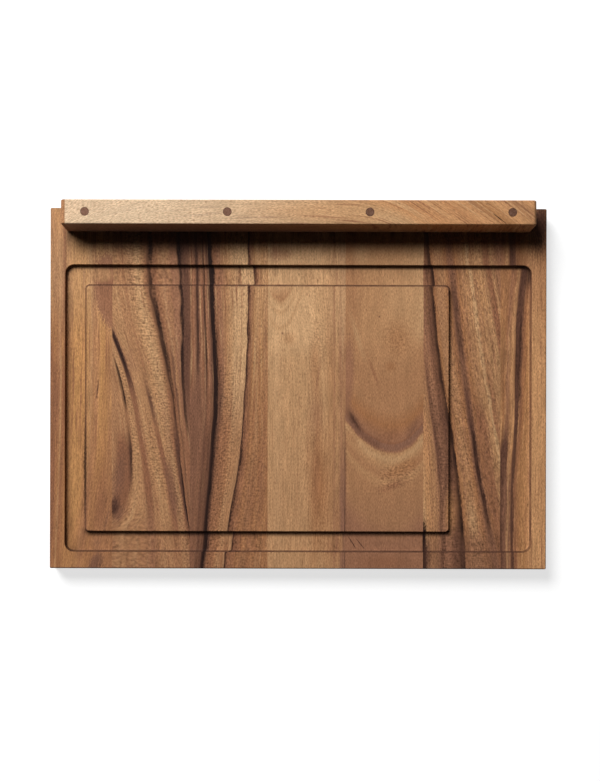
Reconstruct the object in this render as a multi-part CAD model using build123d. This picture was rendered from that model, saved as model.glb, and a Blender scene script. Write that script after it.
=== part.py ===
from build123d import *
import os

# Carving board: edge-glued staves, a juice recess routed round a raised cutting field, and a dowelled lip
# along the back edge. Millimetres. +X runs along the board, +Y towards the lip and +Z up.
# The origin is the centre of the underside.

# Panel
board_length = 559.0
board_depth = 406.0
board_thickness = 25.0
board_edge_round = 1.5

# Staves, with their grain along Y. The middle ones share what the two end staves leave.
left_stave_width = 70.0
right_stave_width = 51.0
middle_stave_count = 5

# Recess: a groove on three sides of the cutting field and a wide well on the right
side_rim = 17.0
front_rim = 19.0
back_rim = 64.0
groove_width = 23.0
well_width = 93.0
recess_depth = 5.0
recess_corner_radius = 10.0
field_corner_radius = 4.0
cove_radius = 3.0
arris_round = 0.7

# Lip bar, its back face flush with the panel's back edge
lip_end_inset = 19.0
lip_depth = 27.0
lip_height = 38.0
lip_edge_round = 1.5
lip_end_round = 4.0

# Dowels, through the lip bar into blind holes in the panel
dowel_count = 4
dowel_diameter = 9.5
dowel_end_inset = 26.5
dowel_panel_depth = 14.0
dowel_clearance = 0.05
dowel_chamfer = 0.8

# Cutting tools run this far past the faces that they cut through
cut_overrun = 5.0

# Worked-out places
board_left = -board_length / 2
board_right = board_length / 2
board_front = -board_depth / 2
board_back = board_depth / 2
recess_left = board_left + side_rim
recess_right = board_right - side_rim
recess_front = board_front + front_rim
recess_back = board_back - back_rim
recess_floor = board_thickness - recess_depth
lip_length = board_length - 2 * lip_end_inset
lip_top = board_thickness + lip_height
dowel_row_y = board_back - lip_depth / 2
dowel_foot = board_thickness - dowel_panel_depth
dowel_pitch = (lip_length - 2 * dowel_end_inset) / (dowel_count - 1)
dowel_places = [-lip_length / 2 + dowel_end_inset + n * dowel_pitch for n in range(dowel_count)]


def rounded_rectangle(left, right, front, back, corner_radius):
    """Flat outline between four sides, with round corners."""
    outline = RectangleRounded(right - left, back - front, corner_radius)
    return Pos((left + right) / 2, (front + back) / 2) * outline


def recess_pocket():
    """The space that the router clears: a ring round the cutting field, with a cove along the foot of its walls."""
    outside = rounded_rectangle(recess_left, recess_right, recess_front, recess_back, recess_corner_radius)
    cutting_field = rounded_rectangle(
        recess_left + groove_width,
        recess_right - well_width,
        recess_front + groove_width,
        recess_back - groove_width,
        field_corner_radius,
    )
    ring = Pos(0, 0, recess_floor) * (outside - cutting_field)
    pocket = extrude(ring, amount=recess_depth + cut_overrun)
    foot_edges = pocket.faces().sort_by(Axis.Z)[0].edges()
    return fillet(foot_edges, cove_radius)


def dowel_holes():
    """Blind holes in the panel that run on through the lip bar."""
    hole_height = lip_top + cut_overrun - dowel_foot
    hole = Cylinder(
        dowel_diameter / 2 + dowel_clearance,
        hole_height,
        align=(Align.CENTER, Align.CENTER, Align.MIN),
    )
    return [Pos(x, dowel_row_y, dowel_foot) * hole for x in dowel_places]


def is_recess_arris(edge):
    """True for a top edge of the recess or the cutting field, which lies well inside the panel's outline."""
    centre = edge.center()
    inside_length = abs(centre.X) < board_length / 2 - side_rim / 2
    inside_depth = board_front + front_rim / 2 < centre.Y < board_back - back_rim / 2
    return inside_length and inside_depth


def glued_panel():
    """The whole panel as it leaves the router, before it is taken apart at its glue lines."""
    blank = Box(
        board_length,
        board_depth,
        board_thickness,
        align=(Align.CENTER, Align.CENTER, Align.MIN),
    )
    panel = fillet(blank.edges(), board_edge_round) - recess_pocket()
    top_edges = panel.edges().group_by(Axis.Z)[-1]
    panel = fillet(top_edges.filter_by(is_recess_arris), arris_round)
    return panel - dowel_holes()


def glue_lines():
    """X of the panel's left side, of each glue line and of its right side."""
    first_line = board_left + left_stave_width
    last_line = board_right - right_stave_width
    middle_width = (last_line - first_line) / middle_stave_count
    middle_lines = [first_line + n * middle_width for n in range(middle_stave_count + 1)]
    return [board_left - cut_overrun, *middle_lines, board_right + cut_overrun]


def stave(panel, left, right):
    """The part of the panel between two glue lines."""
    slab = Box(
        right - left,
        board_depth + 2 * cut_overrun,
        board_thickness + 2 * cut_overrun,
        align=(Align.MIN, Align.CENTER, Align.MIN),
    )
    return panel & (Pos(left, 0, -cut_overrun) * slab)


def lip_bar():
    """Straight bar with its top ends rounded over, every other edge eased and the dowel holes bored through."""
    end_view = Rectangle(lip_length, lip_height, align=(Align.CENTER, Align.MIN))
    top_corners = end_view.vertices().group_by(Axis.Y)[-1]
    front_outline = fillet(top_corners, lip_end_round)
    back_plane = Plane((0, board_back, board_thickness), x_dir=(1, 0, 0), z_dir=(0, -1, 0))
    bar = extrude(back_plane * front_outline, amount=lip_depth)
    front_and_back = bar.faces().filter_by(Axis.Y)
    underside = bar.faces().sort_by(Axis.Z)[0]
    sharp_edges = front_and_back.edges() + underside.edges().filter_by(Axis.Y)
    return fillet(sharp_edges, lip_edge_round) - dowel_holes()


def dowel(x):
    """Round dowel, chamfered at its foot and trimmed flush with the top of the lip bar."""
    peg = Cylinder(
        dowel_diameter / 2,
        lip_top - dowel_foot,
        align=(Align.CENTER, Align.CENTER, Align.MIN),
    )
    foot_edge = peg.edges().sort_by(Axis.Z)[0]
    return Pos(x, dowel_row_y, dowel_foot) * chamfer(foot_edge, dowel_chamfer)


os.makedirs("parts", exist_ok=True)

panel = glued_panel()
lines = glue_lines()
for number, (left, right) in enumerate(zip(lines, lines[1:]), start=1):
    export_step(stave(panel, left, right), f"parts/stave_{number}.step")

export_step(lip_bar(), "parts/lip_bar.step")

for number, x in enumerate(dowel_places, start=1):
    export_step(dowel(x), f"parts/dowel_{number}.step")
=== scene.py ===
import bpy
import math
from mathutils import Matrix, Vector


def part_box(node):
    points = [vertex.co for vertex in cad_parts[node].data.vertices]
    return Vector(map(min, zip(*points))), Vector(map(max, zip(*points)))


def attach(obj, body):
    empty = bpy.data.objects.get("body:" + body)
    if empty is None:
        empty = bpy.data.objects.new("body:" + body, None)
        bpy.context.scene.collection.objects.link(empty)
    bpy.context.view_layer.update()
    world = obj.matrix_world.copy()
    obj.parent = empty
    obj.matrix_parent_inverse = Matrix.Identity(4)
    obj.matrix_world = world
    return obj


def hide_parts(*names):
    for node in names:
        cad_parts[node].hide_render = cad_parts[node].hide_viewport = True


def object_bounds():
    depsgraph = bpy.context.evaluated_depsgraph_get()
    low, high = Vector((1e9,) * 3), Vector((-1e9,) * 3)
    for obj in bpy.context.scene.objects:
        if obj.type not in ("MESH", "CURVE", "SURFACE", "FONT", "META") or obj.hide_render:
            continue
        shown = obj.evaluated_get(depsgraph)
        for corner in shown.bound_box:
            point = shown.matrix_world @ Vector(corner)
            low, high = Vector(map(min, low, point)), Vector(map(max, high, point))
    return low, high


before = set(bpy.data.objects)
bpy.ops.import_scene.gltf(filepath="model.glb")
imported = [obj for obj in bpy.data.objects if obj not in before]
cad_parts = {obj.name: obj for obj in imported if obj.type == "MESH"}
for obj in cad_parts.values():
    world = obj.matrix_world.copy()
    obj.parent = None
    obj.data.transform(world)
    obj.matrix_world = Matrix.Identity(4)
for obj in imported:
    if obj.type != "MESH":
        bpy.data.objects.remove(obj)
cad_low, cad_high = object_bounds()

# Lengths in the wood are in millimetres and Blender's are in metres
MM = 0.001
BOARD_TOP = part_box("stave_4")[1].z / MM
LIP_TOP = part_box("lip_bar")[1].z / MM
BOARD_BACK = cad_high.y / MM
BOARD_FRONT = cad_low.y / MM

# Outlines of the recess and of the raised cutting field inside it
RECESS = {"centre": (0.0, -22.5), "half": (262.5, 161.5), "corner": 10.0}
FIELD = {"centre": (-35.0, -22.5), "half": (204.5, 138.5), "corner": 4.0}
RECESS_DEPTH = 5.0

# Dowels in the lip
DOWEL_COUNT = 4
DOWEL_SIDES = 64
DOWEL_RINGS = 40

# Wood colours, from the palest sapwood to the darkest streak, as linear red, green and blue
WOOD = {
    "ivory": (0.72, 0.54, 0.36),
    "wheat": (0.58, 0.345, 0.175),
    "cream": (0.525, 0.308, 0.155),
    "straw": (0.49, 0.28, 0.137),
    "honey": (0.425, 0.222, 0.104),
    "peach": (0.55, 0.284, 0.128),
    "apricot": (0.505, 0.245, 0.108),
    "gold": (0.455, 0.225, 0.085),
    "amber": (0.40, 0.19, 0.078),
    "tan": (0.37, 0.182, 0.086),
    "copper": (0.33, 0.145, 0.062),
    "rose": (0.30, 0.139, 0.075),
    "russet": (0.24, 0.102, 0.052),
    "plum": (0.225, 0.118, 0.08),
    "mauve": (0.236, 0.112, 0.068),
    "walnut": (0.19, 0.086, 0.05),
    "umber": (0.10, 0.044, 0.028),
    "char": (0.018, 0.008, 0.006),
}

# Noise runs from 0 to 1 about this middle, and each piece reads it this far from the last one
MIDDLE = 0.5
SEED_STEP = 7.3

# How far the figure wanders off its grain lines and how far its edges feather, in millimetres
SLOW_WANDER = 3.0
QUICK_WANDER = 1.6
FIBRE_FEATHER = 3.2
SPECK_FEATHER = 1.5
ARCH_WANDER = 5.0
ARCH_FEATHER = 3.0

# Lengths over which a set of arches fades at its ends and at its sides, in millimetres
ARCH_END_FADE = 30.0
ARCH_SIDE_FADE = 8.0

# How ragged the rim of an oval patch is, as shares of its size
SPECK_RAGGED = 0.5
FIBRE_RAGGED = 0.3

# How far a surface faces along the grain where end grain begins to show and where it is full
END_GRAIN_BEGINS = 0.08
END_GRAIN_FULL = 0.6

# Sockets of the Mix node when it mixes colours
MIX_FACTOR, MIX_FIRST, MIX_SECOND, MIX_RESULT = 0, 6, 7, 2

WHITE = (1.0, 1.0, 1.0, 1.0)


def opaque(name):
    """A named wood colour with full alpha."""
    return (*WOOD[name], 1.0)


def even_lean(lean):
    """Grain that leans by the same amount all along a piece, in millimetres for each one down."""
    return [(BOARD_BACK, lean), (BOARD_FRONT, lean)]


class Signal:
    """A shader socket. Arithmetic on it adds Math nodes, and node() adds a node of any other kind."""

    def __init__(self, tree, socket=None):
        self.tree = tree
        self.socket = socket

    def node(self, kind, settings, inputs, output=0):
        """Adds a node. Its settings come first, and then the values or links of its sockets."""
        made = self.tree.nodes.new(kind)
        for name, value in settings.items():
            if name == "stops":
                fill_ramp(made.color_ramp, value)
            elif name == "points":
                fill_curve(made.mapping, value)
            else:
                setattr(made, name, value)
        for name, value in inputs.items():
            if isinstance(value, Signal):
                self.tree.links.new(value.socket, made.inputs[name])
            else:
                made.inputs[name].default_value = value
        return Signal(self.tree, made.outputs[output] if made.outputs else None)

    def math(self, operation, first, second=0.0):
        return self.node("ShaderNodeMath", {"operation": operation}, {0: first, 1: second})

    def __add__(self, other):
        return self.math("ADD", self, other)

    def __radd__(self, other):
        return self.math("ADD", other, self)

    def __sub__(self, other):
        return self.math("SUBTRACT", self, other)

    def __rsub__(self, other):
        return self.math("SUBTRACT", other, self)

    def __mul__(self, other):
        return self.math("MULTIPLY", self, other)

    def __rmul__(self, other):
        return self.math("MULTIPLY", other, self)

    def __truediv__(self, other):
        return self.math("DIVIDE", self, other)

    def __pow__(self, other):
        return self.math("POWER", self, other)

    def __abs__(self):
        return self.math("ABSOLUTE", self)

    def least(self, other):
        return self.math("MINIMUM", self, other)

    def most(self, other):
        return self.math("MAXIMUM", self, other)

    def parts(self):
        """The three numbers of a vector."""
        return [self.node("ShaderNodeSeparateXYZ", {}, {0: self}, axis) for axis in "XYZ"]

    def ease(self, start, end):
        """0 at start and 1 at end, with a smooth step between."""
        limits = {"Value": self, "From Min": start, "From Max": end}
        return self.node("ShaderNodeMapRange", {"interpolation_type": "SMOOTHSTEP"}, limits)

    def span(self, start, end, height):
        """0 at start and height at end, in a straight line between."""
        limits = {"Value": self, "From Min": start, "From Max": end, "To Max": height}
        return self.node("ShaderNodeMapRange", {}, limits)

    def curve(self, points):
        """A smooth curve through (here, there) points."""
        return self.node("ShaderNodeFloatCurve", {"points": points}, {"Value": self})

    def ramp(self, stops):
        """Colours in a row along this value, as (place, colour name)."""
        first = stops[0][0]
        last = stops[-1][0]
        shares = [((place - first) / (last - first), opaque(name)) for place, name in stops]
        along = self.span(first, last, 1.0)
        return self.node("ShaderNodeValToRGB", {"stops": shares}, {"Fac": along})

    def toward(self, colour, amount, blend="MIX"):
        """This colour mixed towards another one."""
        settings = {"data_type": "RGBA", "blend_type": blend}
        sockets = {MIX_FACTOR: amount, MIX_FIRST: self, MIX_SECOND: colour}
        return self.node("ShaderNodeMix", settings, sockets, MIX_RESULT)

    def scaled(self, amount):
        """This colour or vector times a number."""
        return self.node("ShaderNodeVectorMath", {"operation": "SCALE"}, {0: self, "Scale": amount})


def fill_ramp(ramp, stops):
    """Puts a colour ramp's stops in their places."""
    while len(ramp.elements) < len(stops):
        ramp.elements.new(1.0)
    for element, (place, colour) in zip(ramp.elements, stops):
        element.position = place
        element.color = colour


def fill_curve(mapping, points):
    """Puts a curve's points in their places, in rising order."""
    mapping.use_clip = False
    curve = mapping.curves[0]
    while len(curve.points) < len(points):
        curve.points.new(0.0, 0.0)
    for point, place in zip(curve.points, sorted(points)):
        point.location = place
        point.handle_type = "AUTO"
    mapping.update()


class Timber:
    """Oiled solid wood. Its figure follows grain lines that are drawn through the piece."""

    def __init__(self, name, seed, grain_lines, grain_axis=1, top=BOARD_TOP):
        self.material = bpy.data.materials.new(name)
        self.material.use_nodes = True
        self.tree = self.material.node_tree
        self.tree.nodes.clear()
        start = Signal(self.tree)
        place = start.node("ShaderNodeTexCoord", {}, {}, "Object").scaled(1 / MM)
        self.place = place.parts()
        self.normal = start.node("ShaderNodeTexCoord", {}, {}, "Normal").parts()
        self.seed = seed
        self.grain_axis = grain_axis
        self.along = self.place[grain_axis]
        self.sideways = self.place[1 - grain_axis]
        self.depth = top - self.place[2]
        drawn = self.across_the_grain(grain_lines)
        slow_wander = self.noise(drawn, width=16, length=110) - MIDDLE
        quick_wander = self.noise(drawn, width=3, length=22) - MIDDLE
        self.across = drawn + slow_wander * SLOW_WANDER + quick_wander * QUICK_WANDER
        self.fibre = self.noise(self.across, width=1.5, length=24, detail=2.0, deep=6)
        self.speck = self.noise(self.across, width=0.9, length=3.0)
        self.cloud = self.noise(self.across, width=9, length=34, detail=2.0, deep=20)
        fibre_edge = (self.fibre - MIDDLE) * FIBRE_FEATHER
        speck_edge = (self.speck - MIDDLE) * SPECK_FEATHER
        self.feathered = self.across + fibre_edge + speck_edge
        self.end_grain = abs(self.normal[grain_axis]).ease(END_GRAIN_BEGINS, END_GRAIN_FULL)
        self.colour = None
        self.curl = None

    def across_the_grain(self, grain_lines):
        """Millimetres across the grain, the same all along a grain line.

        Each line is its number of millimetres, its (along, lean) points and its (along, sideways) points.
        """
        lines = []
        for rest, leans, points in grain_lines:
            lean = self.along.curve(leans)
            lines.append((rest, self.along.curve(points) + lean * self.depth))
        first_rest, first_line = lines[0]
        last_line = lines[-1][1]
        before = (self.sideways - first_line).least(0.0)
        beyond = (self.sideways - last_line).most(0.0)
        across = first_rest + before + beyond
        for (rest, line), (next_rest, next_line) in zip(lines, lines[1:]):
            across = across + self.sideways.span(line, next_line, next_rest - rest)
        return across

    def noise(self, across, width, length, detail=1.0, deep=None):
        """Noise from 0 to 1, with marks that wide across the grain, that long along it and that deep."""
        sides = {
            "X": across / width + self.seed * SEED_STEP,
            "Y": self.along / length,
            "Z": self.depth / (deep or width),
        }
        spot = self.along.node("ShaderNodeCombineXYZ", {}, sides)
        return spot.node("ShaderNodeTexNoise", {}, {"Vector": spot, "Scale": 1.0, "Detail": detail}, 0)

    def patchy(self, thin, gain):
        """A strength that is thin in the clear wood and grows by gain in the cloudy wood."""
        return thin + self.cloud * gain

    def ground(self, stops, lines=0.5, pale="straw"):
        """The broad colours, in millimetres across the grain, with fine growth lines along it."""
        self.colour = self.across.ramp(stops)
        growth = self.noise(self.across, width=2.2, length=80, detail=2.0, deep=30)
        dark_lines = growth.ease(0.52, 0.72)
        pale_lines = growth.ease(0.48, 0.28)
        self.tint("russet", dark_lines * lines)
        self.tint(pale, pale_lines * lines)

    def tint(self, colour, amount):
        """Mixes in another colour, from 0 for none of it to 1 for nothing else."""
        self.colour = self.colour.toward(opaque(colour), amount)

    def stain(self, colour, amount):
        """A tint that only darkens."""
        self.colour = self.colour.toward(opaque(colour), amount, "DARKEN")

    def grade(self, colour, start, full, strength):
        """A tint that comes in along the grain, from start to where it is full."""
        self.tint(colour, self.along.ease(start, full) * strength)

    def band(self, at, core, left, right, back=BOARD_BACK, front=BOARD_FRONT, fade=30.0):
        """1 over a core of that half width along the grain, fading to its left and right and at its ends."""
        rise = self.feathered.ease(at - core - left, at - core)
        fall = self.feathered.ease(at + core + right, at + core)
        shape = rise.least(fall)
        if back < BOARD_BACK:
            shape = shape * self.along.ease(back, back - fade)
        if front > BOARD_FRONT:
            shape = shape * self.along.ease(front, front + fade)
        return shape

    def streak(self, at, core, left, right, colour, strength, **ends):
        """A line of another colour along the grain, fainter here and there."""
        uneven = strength * self.patchy(thin=0.35, gain=1.3)
        self.tint(colour, self.band(at, core, left, right, **ends) * uneven)

    def ripple(self, shape):
        """A place where curly fibres shimmer crosswise."""
        self.curl = shape if self.curl is None else self.curl.most(shape)

    def patch(self, x, y, width, length, colour, strength, turn=0.0, soft=1.0):
        """An oval stain of another colour."""
        self.tint(colour, self.oval(x, y, width, length, turn, soft) * strength)

    def oval(self, x, y, width, length, turn=0.0, soft=1.0):
        """1 inside an oval, given by half its width and half its length.

        Its turn is anticlockwise from the grain, in degrees, and its rim is soft from 0 to 1.
        """
        centre = (x, y)
        cosine = math.cos(math.radians(turn))
        sine = math.sin(math.radians(turn))
        if self.grain_axis == 0:
            sine = -sine
        aside = self.sideways - centre[1 - self.grain_axis]
        ahead = self.along - centre[self.grain_axis]
        across = (aside * cosine + ahead * sine) / width
        along = (ahead * cosine - aside * sine) / length
        reach = (across * across + along * along) ** 0.5
        speck_rim = (self.speck - MIDDLE) * SPECK_RAGGED
        fibre_rim = (self.fibre - MIDDLE) * FIBRE_RAGGED
        ragged = reach + speck_rim + fibre_rim
        return ragged.ease(1.0, 1.0 - soft)

    def arches(self, x, y, left_rise, right_rise, stops, back, front, left, right):
        """Nested arches of flat-sawn grain, open to the back.

        Their colours go by millimetres below the arch whose foot is at x and y.
        """
        left_side = (self.sideways - x).least(0.0)
        right_side = (self.sideways - x).most(0.0)
        arch = y + left_side * left_side * left_rise + right_side * right_side * right_rise
        wander = (self.noise(self.across, width=14, length=14) - MIDDLE) * ARCH_WANDER
        speck_edge = (self.speck - MIDDLE) * ARCH_FEATHER
        below = arch - self.along + wander + speck_edge
        window = self.along.ease(back, back - ARCH_END_FADE)
        window = window * self.sideways.ease(left, left + ARCH_SIDE_FADE)
        window = window * self.sideways.ease(right, right - ARCH_SIDE_FADE)
        if front > BOARD_FRONT:
            window = window * self.along.ease(front, front + ARCH_END_FADE)
        self.colour = self.colour.toward(below.ramp(stops), window)

    def from_outline(self, outline):
        """Millimetres from a round-cornered outline, seen from above and below 0 inside it."""
        corner = outline["corner"]
        beyond = [
            abs(place - centre) - (half - corner)
            for place, centre, half in zip(self.place, outline["centre"], outline["half"])
        ]
        outside = (beyond[0].most(0.0) ** 2.0 + beyond[1].most(0.0) ** 2.0) ** 0.5
        inside = beyond[0].most(beyond[1]).least(0.0)
        return outside + inside - corner

    def beside(self, outline, outside, full, gone):
        """1 up to full millimetres from a line that far outside an outline, and 0 from gone on."""
        return abs(self.from_outline(outline) - outside).ease(gone, full)

    def routed_edges(self):
        """1 on the singed routed edges that face the back or the left, and 0 elsewhere."""
        x, y, _ = self.place
        front_or_right = y.ease(-140, -170).most(x.ease(235, 255))
        back_or_left = y.ease(95, 110).most(x.ease(-225, -235))
        recess_edge = self.beside(RECESS, outside=-0.5, full=0.5, gone=1.3) * front_or_right
        field_edge = self.beside(FIELD, outside=0.3, full=0.9, gone=2.0) * back_or_left
        down_to_floor = self.depth.ease(RECESS_DEPTH + 3.0, RECESS_DEPTH + 2.0)
        return recess_edge.most(field_edge) * down_to_floor * self.patchy(thin=0.5, gain=1.0)

    def painted_wall_shade(self):
        """1 on the recess floor along the foot of the walls that face the front or the right, where their
        shade is painted.
        """
        x, y, _ = self.place
        inside_recess = 0.0 - self.from_outline(RECESS)
        outside_field = self.from_outline(FIELD)
        left_share = 0.5
        right_share = 0.4
        back = inside_recess.ease(6.0, 1.5) * y.ease(110, 130)
        left = inside_recess.ease(9.0, 2.0) * x.ease(-245, -255) * left_share
        front = outside_field.ease(7.5, 2.0) * y.ease(-155, -165)
        right = outside_field.ease(6.0, 1.5) * x.ease(165, 172) * right_share
        below_top = self.depth.ease(1.5, 3.0)
        return back.most(left).most(front).most(right) * below_top

    def painted_lip_shadow(self):
        """1 on top of the panel along the foot of the lip, where the lip's shadow is painted, and 0
        elsewhere.
        """
        x, y, _ = self.place
        beside_lip = x.ease(-266, -258) * x.ease(274, 256)
        on_top = self.depth.ease(2.0, 1.0)
        return y.ease(144, 175) * beside_lip * on_top

    def singe_and_shade_panel(self):
        """Singed edges, the lip's painted shadow along its foot, and painted shade along the foot of the
        recess walls.
        """
        singed = 0.75
        wall_shade_strength = 0.65
        self.stain("umber", self.routed_edges() * singed)
        # Painted shadow of the lip on the panel in front of it
        self.tint("char", self.painted_lip_shadow() * self.patchy(thin=0.3, gain=0.8))
        # Painted shade on the recess floor at the foot of the walls that face away from the lamp
        self.tint("char", self.painted_wall_shade() * wall_shade_strength)

    def open_pores(self, colour, strength):
        """Short dark pores, deeper in the cloudy wood."""
        pore = self.noise(self.across, width=0.9, length=4.5).ease(0.52, 0.68)
        self.stain(colour, pore * strength * self.patchy(thin=0.05, gain=0.6))

    def lightness(self, fibre, speck, end_shade):
        """Light and dark from fibre to fibre, about 1 for the colour as it is."""
        even = 1.06
        cloud = 0.45
        curl = 1.8
        darkest = 0.15
        coarse = (self.speck - MIDDLE) * speck * self.patchy(thin=0.5, gain=1.2)
        light = even + (self.fibre - MIDDLE) * fibre + (self.cloud - MIDDLE) * cloud + coarse
        if self.curl is not None:
            wave = self.noise(self.across, width=3.0, length=2.0) - MIDDLE
            light = light + wave * self.curl * curl
        light = light * (1.0 - self.end_grain * end_shade)
        return light.most(darkest)

    def roughness(self):
        """A satin oil, smoother on the specks and duller on end grain."""
        satin = 0.62
        smoother = 0.2
        duller = 0.1
        return satin - self.speck * smoother + self.end_grain * duller

    def finish(self, fibre=0.6, speck=1.2, pores="russet", panel=True, end_shade=0.35):
        """Adds pores, singed edges and painted shade, fibre, specks, end grain and the oil finish, and gives
        the material.
        """
        self.open_pores(pores, speck)
        if panel:
            self.singe_and_shade_panel()
        height = self.fibre + self.speck
        relief = {"Strength": 0.3, "Distance": 0.1 * MM, "Height": height}
        bump = height.node("ShaderNodeBump", {}, relief)
        surface = {
            "Base Color": self.colour.scaled(self.lightness(fibre, speck, end_shade)),
            "Roughness": self.roughness(),
            "Normal": bump,
            "Specular IOR Level": 0.05,
        }
        shader = bump.node("ShaderNodeBsdfPrincipled", {}, surface)
        shader.node("ShaderNodeOutputMaterial", {}, {"Surface": shader})
        return self.material


# Wood of the seven staves, from left to right, and of the lip


def stave_1_wood():
    """Left outer stave: gold in the middle, a rosy oval at the back and darker wood at the front."""
    upright = even_lean(0.0)
    rim_line = (8, upright, [(203, -271), (-47, -271), (-203, -276)])
    field_line = (56, upright, [(203, -224), (-35, -224), (-92, -227), (-161, -236), (-203, -243)])
    wood = Timber("stave_1_wood", 1, [rim_line, field_line])
    wood.ground([
        (0, "russet"), (2, "copper"), (6, "copper"), (10, "tan"), (12, "copper"), (15, "russet"),
        (18, "copper"), (21, "amber"), (26, "gold"), (39, "gold"), (46, "honey"), (52, "apricot"),
        (57, "gold"), (63, "amber"), (70, "tan"),
    ], lines=0.8, pale="gold")
    wood.grade("cream", 40, 130, 0.4)
    wood.grade("copper", 0, -110, 0.5)
    wood.tint("russet", wood.along.ease(-60, -150) * wood.across.ease(30, 45) * 0.35)
    wood.patch(-252, -100, 10, 75, "gold", 0.9, soft=0.6)
    wood.patch(-250, -196, 14, 9, "amber", 0.9)
    wood.patch(-272, -5, 8, 80, "russet", 0.9)
    wood.patch(-240, -85, 3.0, 88, "char", 0.9, soft=0.7)
    wood.streak(3, 1.0, 2, 3, "russet", 0.9, back=40, fade=60)
    wood.streak(11, 0.4, 1.0, 1.0, "honey", 0.8, back=60)
    wood.streak(16, 0.6, 2, 2, "russet", 0.7, front=60)
    wood.streak(49, 1.0, 2, 4, "russet", 0.35)
    wood.patch(-211, 108, 21, 50, "rose", 1.0, turn=9, soft=0.25)
    wood.patch(-213, 104, 16, 42, "russet", 0.5, turn=12, soft=0.5)
    wood.patch(-222, 129, 16, 11, "honey", 0.8, soft=0.5)
    wood.patch(-222, -120, 15, 55, "russet", 0.4, turn=-8)
    wood.patch(-221, -139, 13, 36, "russet", 0.6, turn=-14)
    wood.patch(-216, -150, 3, 26, "walnut", 0.6, turn=-16)
    wood.patch(-228, -174, 9, 14, "rose", 0.6)
    wood.patch(-228, -196, 9, 18, "walnut", 1.0, turn=-24, soft=0.7)
    wood.patch(-222, -198, 3, 14, "umber", 0.6, turn=-24)
    wood.patch(-226, -2, 1.6, 20, "umber", 1.0, turn=-6.5)
    wood.patch(-278, -100, 7, 120, "russet", 0.8)
    wood.patch(-268, -110, 3, 90, "russet", 0.5, turn=-3)
    return wood.finish(fibre=0.9, speck=1.0)


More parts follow.
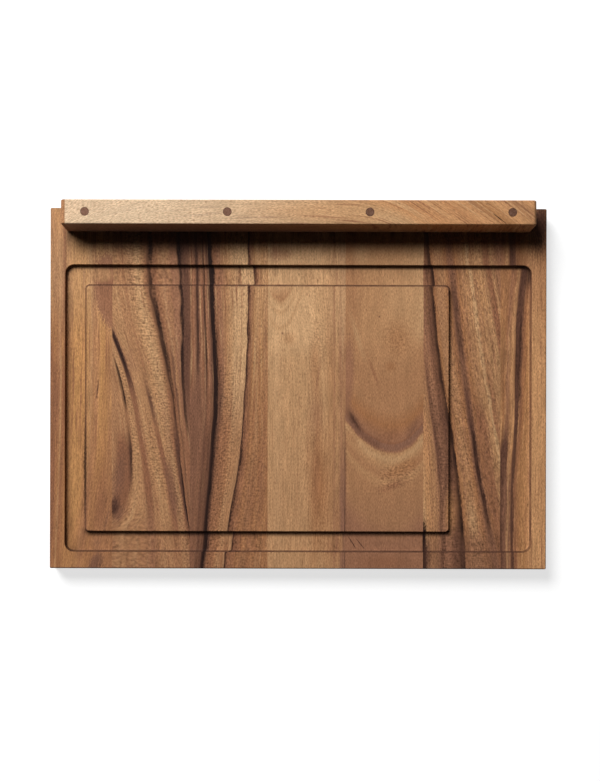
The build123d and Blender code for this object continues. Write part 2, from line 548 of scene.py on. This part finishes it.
def stave_2_wood():
    """Streaked stave: dark lines that run to the right towards the front, a dark pocket at the left, and the
    lip's shadow painted at the back.
    """
    upright = even_lean(0.0)
    slanted = even_lean(-0.2)
    pocket_line = (14, upright, [
        (203, -257), (89, -226), (39, -209), (-5, -197), (-50, -190), (-83, -188), (-107, -188),
        (-121, -190), (-137, -193.5), (-147, -200), (-155, -210), (-203, -224),
    ])
    left_line = (26, upright, [
        (203, -244), (100, -226), (69, -213), (16, -192.5), (-50, -178), (-113, -168), (-203, -163),
    ])
    middle_line = (45, upright, [
        (203, -203), (100, -194), (15, -174), (-66, -155), (-123, -142), (-203, -130),
    ])
    main_line = (64, slanted, [
        (203, -169), (115, -167), (69, -156), (20, -145), (-51, -136), (-113, -129), (-161, -122),
        (-203, -116),
    ])
    right_line = (78, slanted, [
        (203, -135), (134, -133), (95, -131), (-13, -129), (-82, -121), (-203, -111),
    ])
    wood = Timber("stave_2_wood", 2, [pocket_line, left_line, middle_line, main_line, right_line])
    wood.ground([
        (0, "tan"), (15, "tan"), (18, "honey"), (23, "tan"), (26, "rose"), (30, "tan"), (36, "honey"),
        (42, "tan"), (46, "tan"), (50, "honey"), (56, "straw"), (61, "honey"), (64, "rose"), (68, "tan"),
        (72, "rose"), (77, "rose"), (79, "walnut"), (83, "walnut"), (87, "rose"),
    ])
    wood.patch(-203, -22, 8, 22, "tan", 0.7)
    wood.grade("russet", -140, -170, 0.35)
    wood.streak(66, 9, 10, 6, "russet", 0.6, back=40, fade=100)
    wood.streak(73, 4, 5, 5, "walnut", 0.4, back=70, front=-60, fade=60)
    # Painted shadow of the lip, darkest at its foot
    wood.grade("umber", 145, 168, 0.4)
    wood.streak(7, 5.0, 8, 3, "russet", 1.2, back=-35, front=-160, fade=40)
    wood.patch(-201, -98, 12, 50, "walnut", 1.0, turn=-8)
    wood.streak(14, 0.5, 4.5, 1.2, "umber", 0.7, back=-40, front=-125)
    wood.streak(14, 0.5, 2.0, 1.6, "char", 0.9, back=45, front=-35, fade=25)
    wood.streak(14, 0.3, 2.0, 1.2, "char", 0.6, back=-30, front=-110)
    wood.streak(26, 1.5, 2.0, 3.0, "umber", 1.0, back=92, front=-30, fade=40)
    wood.streak(26, 0.4, 2.2, 2.8, "char", 0.9, back=88, front=-5, fade=40)
    wood.streak(26, 1.2, 3, 3, "russet", 0.9, back=20, front=-165, fade=40)
    wood.streak(45, 0.5, 1.5, 2.5, "umber", 0.9, back=25, front=-60, fade=40)
    wood.streak(45, 1.0, 4, 2, "russet", 0.9, back=-20, front=-185, fade=40)
    wood.streak(48, 3.0, 4, 5, "walnut", 0.9, back=-60, front=-170, fade=50)
    wood.streak(64, 2.0, 5, 4, "russet", 0.8)
    wood.streak(64, 0.5, 2.6, 3.0, "char", 0.95, back=170, front=-60, fade=110)
    wood.streak(64, 0.2, 1.2, 1.6, "char", 0.6)
    wood.streak(63, 1.2, 2.5, 2.0, "umber", 0.9, back=-20, front=-180, fade=50)
    wood.streak(64, 0.3, 1.4, 1.4, "char", 0.9, back=-60, front=-175, fade=40)
    # The dark streaks run into the lip's shadow here: partly their own dark colour, partly painted shadow of
    # the lip
    wood.patch(-166.5, 160, 4, 26, "char", 0.9, soft=0.7)
    wood.patch(-133, 160, 5.5, 28, "char", 0.9, soft=0.7)
    wood.patch(-151, 148, 9, 14, "honey", 0.6)
    wood.streak(69, 0.4, 1.0, 1.6, "umber", 0.6, back=60)
    wood.streak(72, 0.4, 1.2, 1.2, "tan", 0.6, front=-60)
    wood.streak(78, 0.4, 1.8, 2.6, "char", 1.0, front=-75, fade=60)
    wood.streak(84, 3.0, 4, 4, "umber", 0.8, front=-60, fade=80)
    wood.patch(-206, -134, 10, 20, "umber", 1.0, soft=0.8)
    wood.patch(-207, -136, 6, 12, "char", 0.5)
    wood.patch(-201, -143, 8, 13, "walnut", 0.9, turn=-30)
    wood.patch(-188, 30, 8, 26, "rose", 0.5, turn=18)
    wood.patch(-190, 130, 9, 60, "rose", 0.35)
    wood.ripple(wood.band(55, 4, 5, 5))
    wood.ripple(wood.band(19, 2, 3, 3, back=60, front=-110))
    wood.ripple(wood.band(36, 5, 4, 4, back=0, front=-150, fade=60))
    return wood.finish(speck=1.2, pores="walnut")


def stave_3_wood():
    """Dark on its left with a black line at the end of it, and pale on its right with a thin dark line; the
    lip's shadow is painted at the back of its left part.
    """
    upright = even_lean(0.1)
    slanted = [(203, 1.4), (-203, 1.2)]
    left_line = (3, upright, [(203, -120), (-13, -118), (-81, -121), (-203, -127)])
    black_line = (27, upright, [
        (203, -103), (117, -100), (41, -95.5), (-13, -94.5), (-58, -97.5), (-143, -104.5), (-203, -109.5),
    ])
    thin_line = (63, slanted, [
        (203, -57), (55, -57), (-16, -61), (-52, -63), (-101, -69), (-161, -79), (-203, -83),
    ])
    right_line = (81, slanted, [(203, -41), (-13, -41), (-81, -43), (-161, -49), (-203, -52)])
    wood = Timber("stave_3_wood", 3, [left_line, black_line, thin_line, right_line])
    wood.ground([
        (-2, "walnut"), (1, "russet"), (3, "rose"), (5, "walnut"), (8, "umber"), (10.5, "walnut"),
        (12.5, "rose"), (14.5, "russet"), (16.5, "walnut"), (18, "umber"), (19.5, "russet"),
        (21, "rose"), (23, "walnut"), (25, "umber"), (29, "walnut"), (32, "russet"), (36, "rose"),
        (40, "tan"), (45, "honey"), (50, "cream"), (57, "wheat"), (62, "cream"), (64, "rose"),
        (70, "amber"), (75, "honey"), (80, "amber"), (84, "tan"), (90, "amber"),
    ], lines=0.8)
    wood.tint("straw", wood.along.ease(20, 110) * wood.across.ease(60, 68) * 0.4)
    wood.grade("russet", 40, -50, 0.45)
    wood.streak(8, 0.6, 2, 2, "char", 0.6, front=0, fade=60)
    wood.streak(18, 0.3, 1.0, 1.5, "char", 0.6, front=-20, fade=60)
    wood.streak(10, 6, 5, 6, "walnut", 0.7, back=30, fade=60)
    wood.streak(31, 3.0, 3, 6, "umber", 0.8, back=50, fade=70)
    wood.streak(5, 5, 5, 6, "walnut", 0.9, back=20, front=-100, fade=40)
    # Painted shadow of the lip on the dark wood left of the black line
    wood.tint("umber", wood.along.ease(125, 168) * wood.across.ease(30, 25) * 0.6)
    wood.streak(28, 0.7, 1.8, 3.4, "char", 1.3)
    wood.streak(29, 0.8, 2.6, 4.0, "char", 1.1, back=80, fade=80)
    wood.streak(22, 3.0, 4, 4, "umber", 0.7, back=0, fade=80)
    wood.streak(48, 10, 6, 8, "copper", 0.5, back=0, fade=80)
    wood.streak(40, 3, 4, 6, "russet", 0.6, back=-10, fade=60)
    wood.streak(76, 10, 6, 8, "copper", 0.4, back=40, fade=80)
    wood.streak(63.5, 0.8, 0.8, 2.6, "umber", 1.3)
    wood.streak(63.5, 0.3, 0.6, 1.2, "char", 1.0)
    wood.streak(66, 1.2, 2, 5, "russet", 0.6)
    wood.streak(76, 2, 4, 4, "russet", 0.5, back=-60, fade=60)
    wood.patch(-42, -100, 6, 62, "russet", 0.6)
    wood.ripple(wood.band(42, 8, 4, 8, back=60, fade=60))
    wood.ripple(wood.band(76, 6, 5, 5, back=0, fade=60) * 0.5)
    return wood.finish(fibre=1.0, speck=1.3, pores="walnut")


def stave_4_wood():
    """Pale stave with arched grain and a pin knot at the back, browner on its right towards the front."""
    slanted = even_lean(0.5)
    left_line = (10, slanted, [(203, -25), (117, -23), (62, -25), (-69, -24), (-203, -23)])
    middle_line = (44, slanted, [
        (203, 2), (117, -3), (66, 7), (10, 15), (-58, 15), (-126, 11), (-203, 9),
    ])
    right_line = (76, slanted, [(203, 41), (-203, 42)])
    wood = Timber("stave_4_wood", 4, [left_line, middle_line, right_line])
    wood.ground([
        (0, "straw"), (10, "cream"), (20, "straw"), (44, "straw"), (52, "honey"), (60, "straw"),
        (68, "honey"), (74, "tan"), (78, "honey"), (83, "rose"), (90, "tan"),
    ], lines=0.3)
    wood.grade("wheat", 20, 100, 0.5)
    wood.grade("honey", 60, -20, 0.3)
    wood.grade("tan", 0, -140, 0.3)
    wood.arches(-21, 99, 0.09, 0.07, [
        (-22, "rose"), (-8, "tan"), (-1, "tan"), (3, "straw"), (9, "wheat"), (13, "straw"),
        (19, "wheat"), (26, "wheat"), (31, "straw"), (38, "wheat"), (48, "wheat"),
    ], back=125, front=30, left=-36, right=24)
    wood.patch(-11, 56, 13, 12, "honey", 0.8)
    wood.patch(-18, 62, 1.6, 2.4, "umber", 0.9)
    wood.patch(14, 150, 24, 22, "cream", 0.8)
    wood.patch(-26, 154, 9, 20, "rose", 0.8)
    wood.patch(22, 100, 14, 40, "straw", 0.5)
    wood.patch(22, 12, 1.8, 32, "rose", 0.8, turn=-8)
    wood.patch(24, -110, 18, 110, "copper", 0.9)
    wood.patch(20, -95, 8, 75, "russet", 0.4)
    wood.patch(18, 20, 10, 70, "tan", 0.6)
    wood.patch(20, -30, 14, 36, "rose", 0.5)
    wood.patch(-16, 152, 14, 12, "russet", 0.6)
    wood.patch(45, -150, 8, 60, "russet", 0.5)
    wood.patch(40, -178, 18, 18, "russet", 0.5)
    wood.patch(12, -70, 6, 60, "tan", 0.6)
    wood.streak(75, 0.5, 0.8, 1.5, "rose", 0.5)
    wood.streak(84.5, 0.8, 1.2, 1.2, "cream", 0.4, front=0, fade=60)
    wood.streak(85, 2.0, 3.0, 2.0, "mauve", 0.9, back=-40, fade=80)
    wood.streak(88, 0.8, 1.2, 1.2, "umber", 0.9, back=0, fade=80)
    wood.ripple(wood.oval(22, 55, 22, 62) * 0.6)
    return wood.finish(fibre=0.9, speck=0.9)


def stave_5_wood():
    """Plain stave with one dark arch, shaped like a bowl, and paler arches in front of it."""
    straight_line = (44, even_lean(0.2), [(203, 97), (-203, 97)])
    wood = Timber("stave_5_wood", 5, [straight_line])
    wood.ground([(0, "tan"), (10, "tan"), (20, "honey"), (60, "honey"), (88, "straw")], lines=0.15)
    wood.patch(112, 100, 30, 60, "straw", 0.5)
    wood.arches(107, -70, 0.0125, 0.0205, [
        (-130, "honey"), (-75, "tan"), (-45, "tan"), (-28, "copper"), (-11, "rose"), (-9, "russet"),
        (-7, "mauve"), (-1, "mauve"), (1.5, "rose"), (3.5, "honey"), (9, "straw"), (18, "honey"),
        (26, "tan"), (31, "tan"), (36, "honey"), (48, "tan"), (82, "tan"), (105, "rose"), (140, "rose"),
    ], back=70, front=BOARD_FRONT, left=40, right=150)
    wood.grade("mauve", -100, -140, 0.2)
    wood.patch(112, 58, 22, 30, "copper", 0.5)
    wood.patch(119, -88, 9, 30, "copper", 0.6, turn=-65, soft=0.7)
    wood.patch(108, -109, 8, 28, "russet", 0.8, turn=-72)
    wood.patch(128, -48, 1.6, 18, "walnut", 0.8, turn=-36)
    wood.patch(60, -54, 7, 20, "tan", 0.9, turn=38)
    wood.patch(63, -36, 7, 30, "umber", 0.9, turn=31)
    wood.patch(80, -58, 6, 28, "walnut", 1.0, turn=52)
    wood.patch(62, -34, 2.4, 22, "char", 0.45, turn=29)
    wood.patch(53.8, -120, 1.4, 95, "walnut", 0.8)
    wood.patch(97, -196, 50, 13, "russet", 0.7)
    wood.ripple(wood.oval(112, -97, 20, 34, turn=-66, soft=0.6))
    wood.ripple(wood.oval(108, 55, 24, 34) * 0.6)
    wood.patch(130, -42, 7, 24, "walnut", 0.6, turn=-38)
    wood.patch(104, -54, 10, 20, "russet", 0.6, turn=-80)
    wood.patch(104, 25, 10, 9, "copper", 0.7)
    wood.patch(56, 14, 9, 58, "rose", 0.95, turn=-2, soft=0.6)
    wood.patch(66, 60, 5, 42, "straw", 0.6, turn=17)
    wood.patch(85, 18, 2.6, 30, "russet", 0.8, turn=20)
    wood.patch(70, 152, 13, 20, "straw", 0.7)
    wood.patch(90, -5, 14, 40, "tan", 0.4, turn=12)
    wood.patch(91, 81, 1.6, 2.0, "umber", 0.9)
    wood.patch(61.3, -173.5, 0.8, 11, "umber", 1.0, turn=32, soft=0.6)
    wood.patch(70.2, -174.5, 0.8, 11, "umber", 1.0, turn=40, soft=0.6)
    return wood.finish(fibre=0.35, speck=0.9)


def stave_6_wood():
    """Brown stave with dark and pale lines that run to the right towards the front."""
    slanted = even_lean(0.5)
    left_line = (8, slanted, [(203, 120), (89, 135), (-13, 148), (-69, 156), (-203, 162)])
    dark_line = (20, slanted, [
        (203, 143), (111, 151), (41, 158), (-41, 170), (-104, 178.5), (-203, 187),
    ])
    well_line = (45, slanted, [(203, 167), (90, 175), (21, 184), (-35, 192), (-103, 202), (-203, 225)])
    pale_line = (62, slanted, [
        (203, 185), (131, 192), (60, 202), (-5, 212), (-64, 223), (-103, 230), (-203, 241),
    ])
    right_line = (78, slanted, [(203, 207), (127, 214), (86, 221), (37, 229), (-92, 243), (-203, 252)])
    wood = Timber("stave_6_wood", 6, [left_line, dark_line, well_line, pale_line, right_line])
    wood.ground([
        (-14, "straw"), (-4, "apricot"), (3, "tan"), (8, "rose"), (12, "rose"), (17, "russet"),
        (22, "copper"), (27, "tan"), (34, "tan"), (40, "copper"), (44, "rose"), (49, "copper"),
        (55, "tan"), (60, "honey"), (64, "tan"), (70, "honey"), (75, "honey"), (82, "tan"), (90, "rose"),
    ], pale="amber")
    wood.grade("walnut", -145, -180, 0.62)
    wood.streak(12, 4.0, 3, 6, "walnut", 0.8, back=10, front=-130, fade=50)
    wood.streak(12, 5.0, 3, 3, "walnut", 0.4, back=120, front=30, fade=50)
    wood.streak(8, 0.4, 1.5, 2.5, "umber", 0.6, back=40)
    wood.streak(18, 2.0, 4, 2, "umber", 0.6)
    wood.streak(20, 0.4, 2.6, 1.8, "char", 0.8)
    wood.streak(29, 2, 3, 4, "tan", 0.6, back=130, front=-20)
    wood.streak(44, 1.5, 5, 6, "walnut", 0.6)
    wood.streak(45, 1.2, 3.0, 3.0, "umber", 0.8, back=145, front=10, fade=40)
    wood.streak(45, 0.8, 3.0, 3.0, "umber", 0.9, back=40, front=-190, fade=60)
    wood.streak(45, 0.4, 1.6, 2.0, "char", 0.6, back=-30, front=-170)
    wood.streak(62, 0.7, 0.8, 1.4, "straw", 1.0, front=-110)
    wood.streak(65, 1.0, 1.5, 3, "russet", 0.5, back=40)
    wood.streak(53, 2.0, 4, 4, "russet", 0.8, back=0)
    wood.streak(78, 1.5, 3.0, 3.0, "russet", 0.9, front=-90, fade=60)
    wood.ripple(wood.band(34, 6, 5, 5, back=60, fade=50) * 0.7)
    wood.ripple(wood.band(12, 4, 4, 5, back=40, fade=40) * 0.6)
    wood.streak(83, 0.5, 1.5, 2, "honey", 0.6)
    wood.patch(172, -138, 11, 36, "amber", 0.8)
    wood.patch(142, -184, 4.2, 46, "char", 1.0, soft=0.4)
    wood.patch(146, -190, 7, 30, "umber", 0.8)
    wood.patch(166, -105, 4, 45, "umber", 0.6, turn=-3)
    wood.patch(186, -185, 5, 26, "umber", 0.8)
    wood.patch(197, -146, 8, 30, "straw", 0.7, turn=8)
    wood.patch(150, -120, 7, 50, "honey", 0.4)
    wood.patch(175, 130.4, 0.8, 4.5, "umber", 1.0, turn=90)
    wood.patch(172.5, 121, 0.8, 3.0, "umber", 1.0, turn=60)
    return wood.finish(fibre=0.9, speck=1.5, pores="walnut")


def stave_7_wood():
    """Right outer stave: apricot, with a wandering dark line and the lip's shadow painted on its back
    corner.
    """
    slanted = [(203, 2.7), (110, 2.7), (40, 1.2), (-60, 0.3), (-203, 0.1)]
    dark_line = (14, slanted, [
        (203, 237), (139, 239.5), (107, 237.5), (76, 238.5), (46, 241.5), (15, 242.5), (-23, 244),
        (-53, 243.3), (-84, 242), (-124, 241.2), (-203, 241.5),
    ])
    wood = Timber("stave_7_wood", 7, [dark_line])
    wood.ground([
        (-10, "amber"), (-3, "amber"), (0, "copper"), (3, "rose"), (6, "tan"), (8, "apricot"),
        (11, "apricot"), (13, "russet"), (18, "russet"), (22, "copper"), (26, "amber"), (31, "apricot"),
        (35, "peach"), (44, "peach"), (55, "apricot"),
    ], lines=0.6, pale="peach")
    wood.grade("russet", 50, 120, 0.45)
    wood.streak(15, 2.0, 4.5, 4.0, "umber", 0.9, front=-40, fade=60)
    wood.streak(14, 1.2, 2.0, 2.5, "char", 1.2, back=110, front=-40, fade=50)
    wood.streak(14, 0.8, 2.0, 2.0, "umber", 1.1)
    wood.streak(18, 2.0, 4, 6, "umber", 0.85, back=160, front=90, fade=40)
    # Painted shadow of the lip's right end on the back corner
    wood.patch(272, 185, 17, 48, "umber", 1.0, soft=0.8)
    wood.patch(276, 190, 12, 30, "char", 0.5)
    wood.streak(-3, 1.5, 2, 3, "umber", 0.5, back=90, front=-40, fade=60)
    wood.streak(2, 2.5, 2, 4.5, "umber", 1.1, back=-20, fade=60)
    wood.streak(8, 2.5, 4, 3, "walnut", 0.9, back=-60, fade=60)
    wood.streak(9, 0.5, 1, 1, "honey", 0.6)
    wood.patch(252, -120, 10, 90, "amber", 0.7)
    return wood.finish(fibre=0.9, speck=1.1)


def lip_bar_wood():
    """Pale bar, warmer to the right, where its grain slants to the front, with one dark check there, and
    painted shade on its front face, deepest at the left.
    """
    grain_line = (13, even_lean(0.0), [
        (-260, 160), (-190, 184), (-110, 191), (40, 189), (90, 182), (150, 150), (260, 70),
    ])
    wood = Timber("lip_bar_wood", 8, [grain_line], grain_axis=0, top=LIP_TOP)
    wood.ground([
        (0, "straw"), (9, "straw"), (16, "wheat"), (22, "straw"), (32, "peach"), (45, "apricot"),
        (56, "peach"), (70, "apricot"), (82, "peach"), (96, "amber"), (110, "peach"), (126, "tan"),
        (136, "peach"), (150, "apricot"),
    ], lines=1.0, pale="wheat")
    wood.grade("ivory", 90, -200, 0.8)
    wood.patch(30, 190, 16, 110, "peach", 0.4)
    wood.grade("tan", -255.2, -256.2, 1.0)
    wood.grade("tan", 257.5, 258.5, 0.7)
    # Painted shade on the front face, which faces away from the lamp, deepest at the left
    painted_front_shade = wood.normal[1].ease(-0.5, -0.9)
    wood.tint("walnut", painted_front_shade * wood.along.ease(220, -60) * 0.85)
    wood.patch(220, 182.5, 0.9, 13.5, "char", 1.0, turn=-37.5, soft=0.8)
    wood.patch(206, 199, 0.8, 4.0, "umber", 0.8, turn=-30)
    wood.patch(190, 200, 4, 20, "tan", 0.6, turn=-30)
    return wood.finish(fibre=0.5, speck=1.1, panel=False, end_shade=0.0)


def paint(node, material):
    """Gives a carried-over piece its finish."""
    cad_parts[node].data.materials[0] = material


# Dowels


def dowel_row():
    """X of the first dowel, Y of the row, distance from one to the next, and radius, in millimetres."""
    first_low, first_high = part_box("dowel_1")
    next_low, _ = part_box("dowel_2")
    first_x = (first_low.x + first_high.x) / 2 / MM
    row_y = (first_low.y + first_high.y) / 2 / MM
    pitch = (next_low.x - first_low.x) / MM
    radius = (first_high.x - first_low.x) / 2 / MM
    return first_x, row_y, pitch, radius


def dowel_wood():
    """Dark end grain with fine pores and a darker ring of glue at the rim, paler towards the left."""
    material = bpy.data.materials.new("dowel_end_grain")
    material.use_nodes = True
    tree = material.node_tree
    tree.nodes.clear()
    place = Signal(tree).node("ShaderNodeTexCoord", {}, {}, "Object").scaled(1 / MM)
    x, y, _ = place.parts()
    first_x, row_y, pitch, radius = dowel_row()
    last_x = first_x + (DOWEL_COUNT - 1) * pitch
    aside = x.math("PINGPONG", x - (first_x - pitch), pitch / 2)
    ahead = y - row_y
    reach = (aside * aside + ahead * ahead) ** 0.5
    mottle = place.node("ShaderNodeTexNoise", {}, {"Vector": place, "Scale": 0.4, "Detail": 3.0}, 0)
    pore = place.node("ShaderNodeTexNoise", {}, {"Vector": place, "Scale": 1.6, "Detail": 2.0}, 0)
    mottled = 0.45 + mottle * 0.5
    pored = pore.ease(0.52, 0.66) * 0.3
    ringed = reach.ease(radius - 1.2, radius - 0.2) * 0.25
    paler = x.ease(last_x, first_x) * 0.35
    colour = mottle.ramp([(0.3, "walnut"), (0.7, "plum")]).scaled(mottled - pored - ringed + paler)
    surface = {"Base Color": colour, "Roughness": 0.6 + pore * 0.1, "Specular IOR Level": 0.1}
    shader = colour.node("ShaderNodeBsdfPrincipled", {}, surface)
    shader.node("ShaderNodeOutputMaterial", {}, {"Surface": shader})
    return material


def dowel_pegs(material):
    """Pegs in a row, turned from a bar, with a chamfered foot and an eased top just below the lip's."""
    first_x, row_y, pitch, radius = dowel_row()
    low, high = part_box("dowel_1")
    below_lip = 0.1
    sizes = {
        "First X": first_x * MM,
        "Row Y": row_y * MM,
        "Pitch": pitch * MM,
        "Radius": radius * MM,
        "Foot": low.z,
        "Top": high.z - below_lip * MM,
        "Chamfer": 0.8 * MM,
        "Rim": 0.5 * MM,
    }
    tree = bpy.data.node_groups.new("dowel_row", "GeometryNodeTree")
    keys = {}
    for name in sizes:
        socket = tree.interface.new_socket(name, in_out="INPUT", socket_type="NodeSocketFloat")
        keys[name] = socket.identifier
    tree.interface.new_socket("Pegs", in_out="OUTPUT", socket_type="NodeSocketGeometry")
    start = Signal(tree)
    size = {name: start.node("NodeGroupInput", {}, {}, name) for name in sizes}

    # One peg along its own height, with its rings closer together at the foot and the top
    spread = start.node("GeometryNodeSplineParameter", {}, {}, "Factor").ease(0.0, 1.0)
    height = size["Foot"] + (size["Top"] - size["Foot"]) * spread
    spot = height.node("ShaderNodeCombineXYZ", {}, {"Z": height})
    path = start.node("GeometryNodeCurvePrimitiveLine", {}, {"End": (0.0, 0.0, 1.0)})
    path = path.node("GeometryNodeResampleCurve", {}, {"Curve": path, "Count": DOWEL_RINGS})
    path = path.node("GeometryNodeSetPosition", {}, {"Geometry": path, "Position": spot})
    above_foot = height - size["Foot"]
    below_top = size["Top"] - height
    foot_share = 1.0 - (size["Chamfer"] - above_foot).most(0.0) / size["Radius"]
    rim_cut = (size["Rim"] - below_top).most(0.0) / size["Rim"]
    rim_share = 1.0 - rim_cut * rim_cut * size["Rim"] * 0.5 / size["Radius"]
    share = foot_share.least(rim_share)
    path = path.node("GeometryNodeSetCurveRadius", {}, {"Curve": path, "Radius": share})
    outline = {"Resolution": DOWEL_SIDES, "Radius": size["Radius"]}
    circle = start.node("GeometryNodeCurvePrimitiveCircle", {}, outline)
    swept = {"Curve": path, "Profile Curve": circle, "Fill Caps": True}
    peg = path.node("GeometryNodeCurveToMesh", {}, swept)

    # The row of pegs
    first = size["First X"].node("ShaderNodeCombineXYZ", {}, {"X": size["First X"], "Y": size["Row Y"]})
    step = size["Pitch"].node("ShaderNodeCombineXYZ", {}, {"X": size["Pitch"]})
    places = {"Count": DOWEL_COUNT, "Start Location": first, "Offset": step}
    row = first.node("GeometryNodeMeshLine", {}, places)
    pegs = row.node("GeometryNodeInstanceOnPoints", {}, {"Points": row, "Instance": peg})
    pegs = pegs.node("GeometryNodeRealizeInstances", {}, {"Geometry": pegs})
    pegs = pegs.node("GeometryNodeSetMaterial", {}, {"Geometry": pegs, "Material": material})
    pegs.node("NodeGroupOutput", {}, {"Pegs": pegs})

    holder = bpy.data.objects.new("dowel_pegs", bpy.data.meshes.new("dowel_pegs"))
    bpy.context.scene.collection.objects.link(holder)
    modifier = holder.modifiers.new("row", "NODES")
    modifier.node_group = tree
    for name, value in sizes.items():
        modifier[keys[name]] = value
    shaped = holder.evaluated_get(bpy.context.evaluated_depsgraph_get())
    holder.data = bpy.data.meshes.new_from_object(shaped)
    holder.modifiers.remove(modifier)
    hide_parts("dowel_1", "dowel_2", "dowel_3", "dowel_4")
    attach(holder, "root")


# Studio, in metres


def seen_directly(start):
    """1 for what the camera sees itself, in a gloss or through glass, and 0 for light on a surface."""
    camera_ray = start.node("ShaderNodeLightPath", {}, {}, "Is Camera Ray")
    glossy_ray = start.node("ShaderNodeLightPath", {}, {}, "Is Glossy Ray")
    clear_ray = start.node("ShaderNodeLightPath", {}, {}, "Is Transmission Ray")
    return camera_ray.most(glossy_ray).most(clear_ray)


def studio_floor():
    """A white floor that keeps the soft shadow of the board."""
    bpy.ops.mesh.primitive_plane_add(size=40.0)
    floor = bpy.context.object
    floor.name = "floor"
    material = bpy.data.materials.new("white_floor")
    material.use_nodes = True
    tree = material.node_tree
    tree.nodes.clear()
    start = Signal(tree)
    x, y, _ = start.node("ShaderNodeTexCoord", {}, {}, "Object").parts()
    far = ((x * x + y * y) ** 0.5).ease(0.6, 1.2)
    near_glow = 0.72
    far_glow = 1.0
    level = seen_directly(start) * (near_glow + far * (far_glow - near_glow))
    glow = start.node("ShaderNodeEmission", {}, {"Color": WHITE, "Strength": level})
    grey = (0.45, 0.45, 0.45, 1.0)
    coat = start.node("ShaderNodeBsdfDiffuse", {}, {"Color": grey})
    both = start.node("ShaderNodeAddShader", {}, {0: glow, 1: coat})
    both.node("ShaderNodeOutputMaterial", {}, {"Surface": both})
    floor.data.materials.append(material)


def studio_world():
    """White where it shows, and a faint even fill where it only lights."""
    world = bpy.data.worlds.new("studio")
    world.use_nodes = True
    tree = world.node_tree
    tree.nodes.clear()
    start = Signal(tree)
    fill = 0.006
    level = fill + seen_directly(start) * (1.0 - fill)
    sky = start.node("ShaderNodeBackground", {}, {"Color": WHITE, "Strength": level})
    sky.node("ShaderNodeOutputWorld", {}, {"Surface": sky})
    bpy.context.scene.world = world


def key_light():
    """One large soft box behind the board and to its left."""
    lamp = bpy.data.lights.new("soft_box", "AREA")
    lamp.shape = "DISK"
    lamp.size = 2.1
    lamp.energy = 165.0
    box = bpy.data.objects.new("soft_box", lamp)
    box.location = (-1.48, 1.95, 2.5)
    box.rotation_euler = (-box.location).to_track_quat("-Z", "Y").to_euler()
    bpy.context.scene.collection.objects.link(box)


def photo_camera():
    """Straight above the front part of the board, with the picture shifted back over the whole of it."""
    data = bpy.data.cameras.new("camera")
    data.sensor_width = 36.0
    data.lens = 52.87
    data.shift_x = 0.0026
    data.shift_y = 0.1339
    camera = bpy.data.objects.new("camera", data)
    camera.location = (0.0, -0.12, 1.3163)
    camera.rotation_euler = (0.0, 0.0, math.radians(0.14))
    bpy.context.scene.collection.objects.link(camera)
    bpy.context.scene.camera = camera


bpy.context.scene.view_settings.view_transform = "Standard"
photo_camera()
key_light()
studio_world()
studio_floor()

paint("stave_1", stave_1_wood())
paint("stave_2", stave_2_wood())
paint("stave_3", stave_3_wood())
paint("stave_4", stave_4_wood())
paint("stave_5", stave_5_wood())
paint("stave_6", stave_6_wood())
paint("stave_7", stave_7_wood())
paint("lip_bar", lip_bar_wood())
dowel_pegs(dowel_wood())
